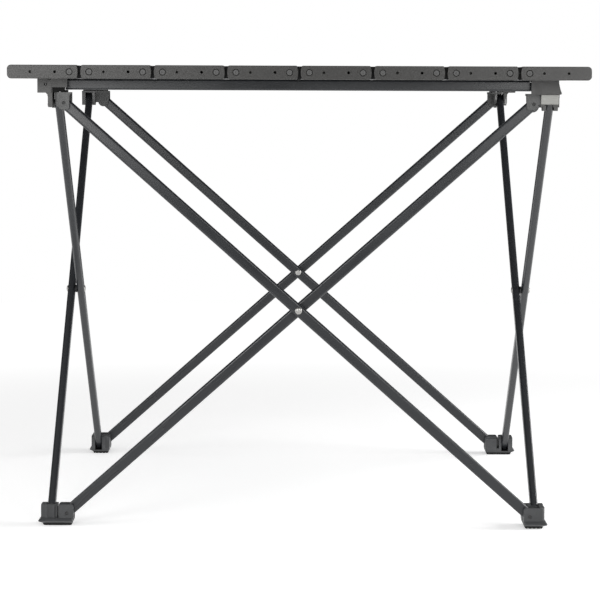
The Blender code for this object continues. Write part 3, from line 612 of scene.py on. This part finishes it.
def foot_parts():
    """Front left foot about the crossing point of its two pivot axes: body, sole and pins."""
    s, gap = TUBE_S / 2, 0.35
    floor = -FOOT_Z
    front_in = (-18.6, -(INN + s + gap))
    rear_in = (-(INN - s - gap), -(INN - s - gap) + 4.6)
    left_out = (-31.9, -(OUT + s + gap))
    right_out = (-(OUT - s - gap), -(OUT - s - gap) + 3.6)

    def ring(z, x0, x1, y0, y1, r):
        return [(a, b, z) for a, b in rounded(x0, x1, y0, y1, r, 4)]

    base = scratch(loft([
        ring(floor + 3.1, -30.6, 6.4, -17.0, 6.0, 2.6), ring(floor + 3.8, -31.6, 7.2, -18.2, 6.8, 2.8),
        ring(floor + 4.9, -34.3, 7.7, -21.0, 7.2, 2.8), ring(floor + 5.7, -35.2, 7.9, -21.8, 7.4, 2.6),
        ring(floor + 6.5, -35.0, 8.0, -21.6, 7.5, 2.4), ring(floor + 9.6, -32.0, 8.1, -18.7, 7.5, 1.8)]))

    def cheek(mid, half, up, r=2.8):
        pts = [(mid - half, floor + 7.5), (mid + half, floor + 7.5)]
        for k in range(6):
            a = math.pi / 2 * k / 5
            pts.append((mid + half - r + r * math.cos(a), up - r + r * math.sin(a)))
        for k in range(6):
            a = math.pi / 2 + math.pi / 2 * k / 5
            pts.append((mid - half + r + r * math.cos(a), up - r + r * math.sin(a)))
        return pts

    # end wall with two upright ribs, in plan
    wall_y, rib_y = -16.9, -18.5
    plan = [(-31.8, -12.4), (-31.8, -15.2), (-30.2, wall_y)]
    for c, h in ((-24.9, 2.0), (-16.4, 1.5)):
        plan += [(c - h - 0.9, wall_y), (c - h * 0.7, rib_y + 0.35), (c - h * 0.3, rib_y), (c + h * 0.3, rib_y), (c + h * 0.7, rib_y + 0.35), (c + h + 0.9, wall_y)]
    plan += [(-12.3, wall_y + 0.6), (-12.3, -12.4)]
    corner = [(0.4, floor + 7.0), (7.6, floor + 7.0), (7.9, floor + 10.0), (7.9, 6.6), (7.6, 8.0), (6.9, 9.2), (5.8, 10.0), (4.4, 10.3), (0.4, 10.3)]
    adds = [
        prism([cheek(-1.2, 9.6, 10.8)], "Y", *front_in),
        prism([cheek(-1.2, 9.6, 10.8)], "Y", *rear_in),
        prism([cheek(-4.15, 11.75, 10.3)], "X", *left_out),
        prism([cheek(-4.15, 11.75, 10.2)], "X", *right_out),
        prism([plan], "Z", floor + 7.0, 10.9),
        # solid corner inside the two forks
        prism([corner], "X", -8.4, 8.0),
        box(right_out[1] - 0.4, -9.8, -13.5, -2.0, floor + 5.0, floor + 10.5),
    ]
    combine(base, adds, "UNION")
    cuts = [
        # slots under the tube ends
        box(-(OUT + s + gap) + 0.01, right_out[0] - 0.01, -12.0, 14.0, floor + 5.4, 20.0),
        box(-11.7, 12.0, front_in[1] + 0.01, rear_in[0] - 0.01, floor + 5.4, 20.0),
        # broad chamfer down the front cheek's left edge
        prism([[(-14.0, -22.0), (-7.6, -22.0), (-7.6, -18.6), (-10.8, -16.4), (-14.0, -16.4)]], "Z", floor + 9.7, 14.0),
        # recesses over the pin ends
        turned("Y", (0.0, 0.0), [(-20.0, 2.35), (-17.9, 2.15)], 28),
        turned("X", (0.0, 0.0), [(-34.0, 2.35), (-31.1, 2.15)], 28),
    ]
    combine(base, cuts, "DIFFERENCE")
    body = finish(base, "foot", 0.5, 2)

    sole = scratch(loft([ring(floor + 0.02, -28.0, 4.8, -14.6, 4.6, 2.0), ring(floor + 0.6, -29.3, 5.8, -16.0, 5.4, 2.4),
                         ring(floor + 3.3, -30.2, 6.2, -16.7, 5.8, 2.6)]))
    combine(sole, [box(-40.0, 20.0, y - 0.5, y + 0.5, floor - 1.0, floor + 1.5) for y in (-13.2, -8.2, -3.2, 1.8)], "DIFFERENCE")
    sole = finish(sole, "sole", 0.0)

    pins = scratch(turned("Y", (0.0, 0.0), pin_rings(-18.25, rear_in[0] + 1.5), 28))
    combine(pins, [turned("X", (0.0, 0.0), pin_rings(-31.55, right_out[0] + 1.5), 28)], "UNION")
    return body, sole, finish(pins, "foot_pins", 0.0)


# ---------------------------------------------------------------- rails and brackets
def rail_mesh(pivot_x):
    """Rail tube along +X from its pivot, reaching up to the slats between the brackets."""
    z0, z1 = RAIL_Z
    mid = (z0 + z1) / 2
    hw = 6.5
    a0, a1, a2 = z0 - mid, z1 - mid, RAIL_TOP - mid
    low_end, high_end = RAIL_END_X - pivot_x, 279.8 - pivot_x
    start = 6.3
    ring = rounded(-hw, hw, a0, a2, 2.5, 7)
    bore = rounded(-hw + 1.3, hw - 1.3, a0 + 1.3, a2 - 1.3, 1.0, 3)
    base = scratch(prism([ring, bore], "X", start, high_end))
    ends = [loft([[(x, a, b) for a, b in rounded(-hw + 0.05, hw - 0.05, a0 + 0.05, a1 - 0.02, 1.9, 4)] for x in (lo, hi)])
            for lo, hi in ((4.9, start + 6.0), (high_end - 6.0, low_end))]
    ends.append(turned("Z", (0.0, 0.0), [(a0 - 2.0, 4.88), (a1 - 8.0, 4.88), (a1 - 8.0, 0.0)], 28))
    combine(base, ends[:2], "UNION")
    combine(base, [ends[2], box(-9.0, 6.25, -9.0, 9.0, a1 - 8.1, a1 + 5.0)], "DIFFERENCE")
    return finish(base, "rail_tube", 0.18, 1, 45.0)


def rail_fitting_mesh():
    """Flat tongue of a rail on its pivot, about the pivot at mid height."""
    z0, z1 = RAIL_Z
    mid = (z0 + z1) / 2
    a1 = z1 - mid
    r = 6.8
    tongue = [(r * math.cos(math.pi / 2 + math.pi * i / 14), r * math.sin(math.pi / 2 + math.pi * i / 14)) for i in range(15)]
    tongue += [(6.4, -6.35), (6.4, 6.35)]
    base = scratch(prism([tongue], "Z", a1 - 7.8, a1 - 0.1))
    combine(base, [turned("Z", (0.0, 0.0), [(a1 - 10.0, 3.0), (a1 + 2.0, 3.0)], 28)], "DIFFERENCE")
    return finish(base, "rail_fitting", 0.35, 2)


def rail_plug_mesh():
    """Thin end plate of a rail, its outer face at x = 0."""
    z0, z1 = RAIL_Z
    mid = (z0 + z1) / 2
    a0, a1 = z0 - mid, z1 - mid
    rings = []
    for x, g in ((0.05, 0.5), (0.6, 0.6), (1.2, 1.0), (1.2, 3.2), (0.5, 3.5)):
        rings.append([(x, a, b) for a, b in rounded(-6.5 + g, 6.5 - g, a0 + g, a1 - g, 1.2, 3)])
    return finish(loft(rings), "rail_plug", 0.0)


def rail_pin_mesh(x, y):
    low = RAIL_Z[1] - 8.2
    rings = [(low - 1.2, 0.0), (low - 1.2, 2.6), (low - 0.9, 3.5), (low - 0.3, 4.2), (low, 4.2), (low, 2.5), (BRACKET_TOP - 0.8, 2.5)]
    return finish(turned("Z", (x, y), rings, 28), "rail_pin", 0.0)


def tongue_profile(lead=0.0):
    """Snap tongue in profile (outward, up), with a small barb at its lower end."""
    return [(318.3, BRACKET_TOP - 0.3), (318.6, 533.6), (318.0, 533.0), (308.6, 533.0), (306.6, 530.6), (305.0, 527.6), (305.0, 518.6),
            (304.4, 515.9), (302.6, 515.5), (299.8, 515.5), (299.2, 516.2), (299.2, BRACKET_TOP - 0.3)]


def bracket_mesh(kind, pivot=None):
    """A bracket in the row frame. kind side: tongue on the left (front left); kind end: tongue in front (front right)."""
    t = BRACKET_TOP + 0.27
    # everything is drawn for the front right bracket and mirrored across the diagonal for the front left one
    # u runs along the side the tongue hangs on, v outward through the tongue; both positive here
    def solid(u0, u1, v0, v1, z0, z1):
        if kind == "end":
            return box(u0, u1, -v1, -v0, z0, z1)
        return box(-v1, -v0, -u1, -u0, z0, z1)

    def profile(points, u0, u1):
        """Prism along u of an outline in (v, z)."""
        if kind == "end":
            return prism([[(-v, z) for v, z in points]], "X", u0, u1)
        return prism([[(-v, z) for v, z in points]], "Y", -u1, -u0)

    def across(points, v0, v1):
        """Prism along v of an outline in (u, z)."""
        if kind == "end":
            return prism([points], "Y", -v1, -v0)
        return prism([[(-u, z) for u, z in points]], "X", -v1, -v0)

    v_face = 318.6 if kind == "end" else 317.2
    shift = v_face - 318.6
    prof = [(v + (shift if v > 306.0 else 0.0), z) for v, z in tongue_profile()]
    if kind == "side" and pivot:
        # the roof is cut back about the pin, so that the rail can swing past it
        px, py = pivot
        base = scratch(solid(281.6, 316.6, 298.8, v_face - 0.4, ROOF, t))
    else:
        base = scratch(solid(281.6, 316.6, 281.6, v_face - 0.4, ROOF, t))
    tongue = profile(prof, 293.6, 316.2) if kind == "end" else profile(prof, 294.5, 315.4)
    # long wall on the tongue's side; its far edge flares outward towards the bottom
    wall = [(281.0, t - 0.1), (281.0, 533.1), (317.0, 533.1), (317.5, 533.9), (317.5, t - 0.1)]
    side = [(309.0, t - 0.4), (309.0, 539.6), (317.0, 539.6), (316.0, t - 0.4)]
    adds = [tongue]
    if kind == "end":
        adds.append(across(wall, 313.2, v_face - 0.2))
        adds.append(across(side, 282.0, 318.0))
    else:
        adds.append(solid(306.0 if pivot else 309.0, 317.4, 300.2, v_face - 0.1, 533.1, t - 0.1))
        if pivot:
            adds.append(box(-299.2, px + 5.6, -316.6, py, ROOF + 0.01, t - 0.02))
            adds.append(box(-299.2, -281.6, -316.6, -313.5, ROOF + 0.01, t - 0.02))
            adds.append(turned("Z", (px, py), [(ROOF + 0.02, 5.8), (t - 0.03, 5.8)], 40))
        adds.append(solid(281.0, 316.0, 314.2, v_face - 0.3, 539.6, t - 0.3))
        adds.append(solid(313.6, 317.3, 281.2, v_face - 1.0, 539.6, t - 0.12))
    if pivot and kind == "end":
        px, py = pivot
        adds.append(box(px - 5.6, 283.0, py - 9.8, py, ROOF + 0.01, t - 0.02))
        adds.append(box(px, 283.0, py - 0.5, py + 5.4, ROOF + 0.015, t - 0.025))
        adds.append(turned("Z", (px, py), [(ROOF + 0.02, 5.8), (t - 0.03, 5.8)], 40))
        adds.append(box(px - 8.8, 284.0, py - 18.5, py - 13.3, 539.6, t - 0.4))
    # ribs under the roof, clear of the rail
    combine(base, adds, "UNION")
    # the hook has a slot in the middle for the tube, and the tongue's front edges are chamfered
    cuts = [solid(298.3, 308.9, 296.0, 308.0, 512.0, 520.4)]
    if kind == "end":
        # shallow seat for the plate on the tongue
        cuts.append(profile([(322.0, 532.7), (307.9, 532.7), (304.3, 527.4), (304.3, 520.7), (322.0, 520.7)], 293.9, 315.7)
                    if pivot is None else solid(297.0, 313.0, 304.3, 310.0, 521.4, 527.0))
        cuts.append(solid(290.0, 318.0, 296.0, 309.0, 512.0, 517.4))
        # the right side is set in above its flared foot
        cuts.append(across([(314.0, 553.0), (314.4, 546.0), (315.4, 541.2), (316.5, 537.6), (317.6, 535.0), (322.0, 535.0), (322.0, 553.0)], 270.0, 325.0))
    else:
        # upright chamfer on the tongue's front edge, a screw mark and a notch in the front wall
        cuts.append(prism([[(-310.0, -320.0), (-302.0, -320.0), (-302.0, -315.4), (-305.6, -312.6), (-310.0, -312.6)]], "Z", 519.8, 529.0))
        cuts.append(turned("Y", (-307.2, 543.2), [(-320.0, 1.9), (-317.2, 1.9), (-316.4, 1.5), (-315.4, 1.5)], 24))
        cuts.append(box(-304.4, -300.4, -319.0, -316.0, 548.3, 551.0))
    combine(base, cuts, "DIFFERENCE")
    return finish(base, "bracket_" + kind, 0.28, 2)


def pad_mesh(kind, pivot):
    """Soft pad under a bracket, resting on the hub and clear of the rail; its near-black colour is painted shade for
    the hollow between bracket and hub.
    """
    z0 = HUB_Z + 12.74
    if kind == "end":
        pad = scratch(box(309.3, 312.8, -297.2, -283.2, z0, ROOF + 0.4))
        tools = [box(308.0, 314.0, -290.7, -289.7, z0 - 1.0, z0 + 0.8)]
    else:
        split = 284.15 if pivot else 291.6
        pad = scratch(box(-299.5, -split, -312.8, -309.3, z0, 539.6))
        combine(pad, [box(-split - 1.0, -280.2, -312.7, -309.4, z0 + 0.01, 536.55)], "UNION")
        tools = [box(-291.0, -290.0, -314.0, -308.0, z0 - 1.0, z0 + 0.8)]
    combine(pad, tools, "DIFFERENCE")
    return finish(pad, "pad_" + kind, 0.12, 1)


def plate_mesh():
    """Thin plain plate in the seat on the front right tongue, following its slope."""
    outer = [(308.75, 532.45), (305.0, 527.3), (305.0, 520.95)]
    return outer


def screw_mesh():
    """Pan head screw seen from below, head down, about its head's seat at z = 0."""
    rings = [(0.3, 1.6), (0.0, 1.6), (0.0, 2.9), (-0.5, 2.95), (-1.0, 2.6), (-1.3, 1.9), (-1.35, 0.0)]
    base = scratch(turned("Z", (0.0, 0.0), rings, 28))
    combine(base, [box(-1.7, 1.7, -0.3, 0.3, -2.0, -0.75), box(-0.3, 0.3, -1.7, 1.7, -2.0, -0.75)], "DIFFERENCE")
    return finish(base, "screw", 0.0)


def mark_mesh():
    """Small screw end in the front left bracket's face."""
    rings = [(-316.2, 0.0), (-316.2, 0.5), (-316.0, 1.0), (-315.6, 1.3), (-314.6, 1.3)]
    return finish(turned("Y", (0.0, 0.0), rings, 20), "mark", 0.0)


# ---------------------------------------------------------------- placing
SIDES = ("front", "right", "rear", "left")
CORNERS = ("fl", "fr", "rr", "rl")
LEG_BODY = {(side, kind): "%s_%s_leg" % (side, kind) for side in SIDES for kind in ("outer", "inner")}
HUB_BODY = {"fl": "frame_root", "fr": "front_right_hub", "rr": "rear_right_hub", "rl": "rear_left_hub"}
FOOT_BODY = {"fl": "front_left_foot", "fr": "front_right_foot", "rr": "rear_right_foot", "rl": "rear_left_foot"}
Y_OUT, Y_IN = -(LEG_B + PLANES / 2), -(LEG_B - PLANES / 2)


def side_point(index, x, y, z):
    v = Matrix.Rotation(index * QUARTER, 3, "Z") @ Vector((x, y, z))
    return (v.x, v.y, v.z)


tubes = {"outer": tube_mesh(True), "inner": tube_mesh(False)}
plug = tube_plug_mesh()
rivet, washer = middle_rivet_mesh(), washer_mesh()
for k, side in enumerate(SIDES):
    for kind, y, lean in (("outer", Y_OUT, THETA), ("inner", Y_IN, -THETA)):
        body = LEG_BODY[side, kind]
        at = side_point(k, 0.0, y, CROSS_Z)
        name = "leg_%s_%s" % (side, kind)
        place("tube_%s_%s" % (side, kind), tubes[kind], M_LEG, body, at, k * QUARTER, lean, [name])
        for tag, sign in (("a", 1), ("b", -1)):
            reach = Matrix.Rotation(k * QUARTER, 3, "Z") @ Matrix.Rotation(lean, 3, "Y") @ Vector((sign * (ARM + 7.0), 0, 0))
            spot = tuple(Vector(at) + reach)
            obj = place("tube_plug_%s_%s_%s" % (side, kind, tag), plug, M_PLUG, body, spot, k * QUARTER,
                        lean if sign > 0 else lean + math.pi)
    at = side_point(k, 0.0, Y_IN, CROSS_Z)
    place("middle_rivet_" + side, rivet, M_STEEL, LEG_BODY[side, "inner"], at, k * QUARTER)
    place("middle_washer_" + side, washer, M_PLUG, LEG_BODY[side, "inner"], at, k * QUARTER)

hub, hub_pins = hub_mesh(), hub_pins_mesh()
foot, sole, foot_pins = foot_parts()
for k, corner in enumerate(CORNERS):
    at = side_point(k, -LEG_P, -LEG_P, HUB_Z)
    place("hub_body_" + corner, hub, M_HUB, HUB_BODY[corner], at, k * QUARTER, None, ["hub_" + corner])
    place("hub_pins_" + corner, hub_pins, M_MARK, HUB_BODY[corner], at, k * QUARTER)
    at = side_point(k, -LEG_P, -LEG_P, FOOT_Z)
    place("foot_body_" + corner, foot, M_FOOT, FOOT_BODY[corner], at, k * QUARTER, None, ["foot_" + corner])
    place("foot_sole_" + corner, sole, M_RUBBER, FOOT_BODY[corner], at, k * QUARTER)
    place("foot_pins_" + corner, foot_pins, M_MARK, FOOT_BODY[corner], at, k * QUARTER)

link, link_pins = link_mesh(), link_pins_mesh()
slats = {plain: slat_mesh(plain) for plain in (-1, 0, 1)}
caps = {plain: cap_mesh(plain) for plain in (-1, 0, 1)}
EDGE = TOP_SIZE / 2
for i in range(SLATS):
    cx = (i - (SLATS - 1) / 2) * PITCH
    plain = -1 if i == 0 else 1 if i == SLATS - 1 else 0
    body = "top_%d" % (i + 1)
    if i:
        jx = cx - PITCH / 2
        for end, y, turn in (("front", -EDGE, 0.0), ("rear", EDGE, math.pi)):
            place("link_plate_%s_%d" % (end, i), link, M_LINK_PARTLY_PAINTED_SHADE, "link_%d" % i, (jx, y, MID_Z), turn, None, ["link_%s_%d" % (end, i)])
            place("link_pins_%s_%d" % (end, i), link_pins, M_PIN, "link_%d" % i, (jx, y, MID_Z), turn)
    place("slat_skin_%d" % (i + 1), slats[plain], M_SLAT, body, (cx, 0.0, MID_Z), 0.0, None, ["slat_%d" % (i + 1)])
    place("end_cap_front_%d" % (i + 1), caps[plain], M_CAP, body, (cx, -EDGE, MID_Z), 0.0, None, ["cap_front_%d" % (i + 1)])
    place("end_cap_rear_%d" % (i + 1), caps[-plain], M_CAP, body, (cx, EDGE, MID_Z), math.pi, None, ["cap_rear_%d" % (i + 1)])

screw = screw_mesh()
rl_pivot = (-RAIL_PIVOT_X["rear"], -RAIL_Y)
for corner, kind, pivot, body, turn in (("fl", "side", (RAIL_PIVOT_X["front"], -RAIL_Y), "top_1", 0.0), ("rl", "end", rl_pivot, "top_1", math.pi),
                                        ("fr", "end", None, "top_8", 0.0), ("rr", "side", None, "top_8", math.pi)):
    mesh = bracket_mesh(kind, pivot)
    place("latch_" + corner, mesh, M_BRACKET, body, (0, 0, 0), turn, None, ["bracket_" + corner])
    spots = ((-308.0, -287.6), (-300.5, -287.6)) if kind == "side" else ((287.0, -287.6), (303.0, -287.6))
    for n, (sx, sy) in enumerate(spots):
        v = Matrix.Rotation(turn, 3, "Z") @ Vector((sx, sy, ROOF))
        place("latch_screw_%s_%d" % (corner, n + 1), screw, M_SCREW, body, tuple(v), turn + 0.4 * n)
    if pivot:
        px, py = pivot
        place("rail_pin_" + corner, rail_pin_mesh(px, py), M_SCREW, body, (0, 0, 0), turn)
    place("latch_pad_" + corner, pad_mesh(kind, pivot), M_PAD_PAINTED_SHADE, body, (0, 0, 0), turn)
    if kind == "side":
        v = Matrix.Rotation(turn, 3, "Z") @ Vector((-307.2, 0.0, 543.2))
        place("latch_mark_" + corner, mark_mesh(), M_SCREW, body, tuple(v), turn)

pl = plate_mesh()
back = [(v - 0.5, z + 0.05) for v, z in reversed(pl)]
plate = finish(prism([[(-v, z) for v, z in pl + back]], "X", 294.1, 315.5), "plate", 0.1, 1)
place("latch_plate", plate, M_PLATE, "top_8")

fitting, rail_plug = rail_fitting_mesh(), rail_plug_mesh()
rail_mid = (RAIL_Z[0] + RAIL_Z[1]) / 2
for end, y in (("front", -RAIL_Y), ("rear", RAIL_Y)):
    px = RAIL_PIVOT_X[end]
    body = end + "_rail"
    place("rail_tube_" + end, rail_mesh(px), M_RAIL, body, (px, y, rail_mid), 0.0, None, ["rail_" + end])
    place("rail_fitting_" + end, fitting, M_BRACKET, body, (px, y, rail_mid))
    place("rail_plug_" + end, rail_plug, M_PLUG, body, (RAIL_END_X, y, rail_mid))

# ---------------------------------------------------------------- floor, light and camera
floor_mesh = bpy.data.meshes.new("studio_floor")
bm = bmesh.new()
bmesh.ops.create_grid(bm, x_segments=4, y_segments=4, size=2.7)
bm.to_mesh(floor_mesh)
bm.free()
floor = bpy.data.objects.new("studio_floor", floor_mesh)
collection.objects.link(floor)
n = Nodes("studio_paper")
# lit paper: the middle takes the soft shadows of the feet, the rest fades into the white backdrop
ring = n.tree.nodes.new("ShaderNodeVectorMath")
ring.operation = "LENGTH"
n.link(n.coords, ring.inputs[0])
fade = n.span(ring.outputs["Value"], 0.75, 1.5, 0.0, 1.0)
paper = n.mix(n.span(n.noise(3.0, 2.0), 0.3, 0.7, 0.0, 1.0), (0.8, 0.8, 0.8), (0.83, 0.83, 0.83))
paper = n.mix(fade, paper, (0.04, 0.04, 0.04))
n.done(paper, n.span(n.noise(40.0), 0.3, 0.7, 0.85, 0.95), None, 0.0, 0.0, Emission_Color=(1.0, 1.0, 1.0, 1.0))
n.link(n.span(fade, 0.0, 1.0, 0.45, 1.0), n.shader.inputs["Emission Strength"])
floor_mesh.materials.append(n.mat)

world = bpy.data.worlds.new("studio")
world.use_nodes = True
tree = world.node_tree
background = tree.nodes["Background"]
background.inputs["Color"].default_value = (1.0, 1.0, 1.0, 1.0)
path = tree.nodes.new("ShaderNodeLightPath")
level = tree.nodes.new("ShaderNodeMapRange")
tree.links.new(path.outputs["Is Camera Ray"], level.inputs["Value"])
level.inputs["To Min"].default_value = 0.08
level.inputs["To Max"].default_value = 1.0
tree.links.new(level.outputs["Result"], background.inputs["Strength"])
bpy.context.scene.world = world


def softbox(name, location, aim, size, size_y, radiance):
    """Rectangular soft light; radiance is how bright its face is, with white paper near 1."""
    light = bpy.data.lights.new(name, "AREA")
    light.shape = "RECTANGLE"
    light.size = size
    light.size_y = size_y
    light.energy = radiance * math.pi * size * size_y
    obj = bpy.data.objects.new(name, light)
    collection.objects.link(obj)
    obj.location = location
    obj.rotation_euler = (Vector(aim) - Vector(location)).to_track_quat("-Z", "Y").to_euler()
    return obj


softbox("soft_left", (-1.7, -0.55, 0.66), (0.0, -0.25, 0.45), 1.2, 0.8, 4.2)
softbox("soft_front_left", (-0.66, -1.75, 0.76), (-0.25, -0.35, 0.52), 0.66, 0.8, 6.3)
softbox("soft_front_right", (0.68, -1.75, 0.76), (0.25, -0.35, 0.52), 0.66, 0.8, 4.9)
softbox("soft_right", (1.55, 0.0, 0.66), (0.0, 0.0, 0.02), 0.9, 0.8, 11.0)
softbox("soft_rear", (0.0, 2.2, 1.9), (0.0, 0.2, 0.3), 2.4, 1.0, 0.9)
softbox("soft_above", (0.0, 0.0, 2.4), (0.0, 0.0, 0.0), 2.0, 2.0, 0.6)

view = bpy.context.scene.view_settings
view.view_transform = "Standard"
view.look = "None"
view.exposure = 0.0
view.gamma = 1.0

pitch, yaw, roll = 0.08996, 0.00194, 0.00382
forward = Vector((math.sin(yaw) * math.cos(pitch), math.cos(yaw) * math.cos(pitch), -math.sin(pitch)))
right = Vector((math.cos(yaw), -math.sin(yaw), 0.0))
up = right.cross(forward)
cam_x = right * math.cos(roll) + up * math.sin(roll)
cam_y = -right * math.sin(roll) + up * math.cos(roll)
camera_data = bpy.data.cameras.new("camera")
camera_data.sensor_fit = "HORIZONTAL"
camera_data.sensor_width = 36.0
camera_data.lens = 143.80
camera_data.clip_start = 0.05
camera_data.clip_end = 60.0
camera = bpy.data.objects.new("camera", camera_data)
collection.objects.link(camera)
matrix = Matrix.Identity(4)
for row in range(3):
    matrix[row][0], matrix[row][1], matrix[row][2] = cam_x[row], cam_y[row], -forward[row]
matrix[0][3], matrix[1][3], matrix[2][3] = -3.97 * MM, -3228.6 * MM, 544.9 * MM
camera.matrix_world = matrix
bpy.context.scene.camera = camera
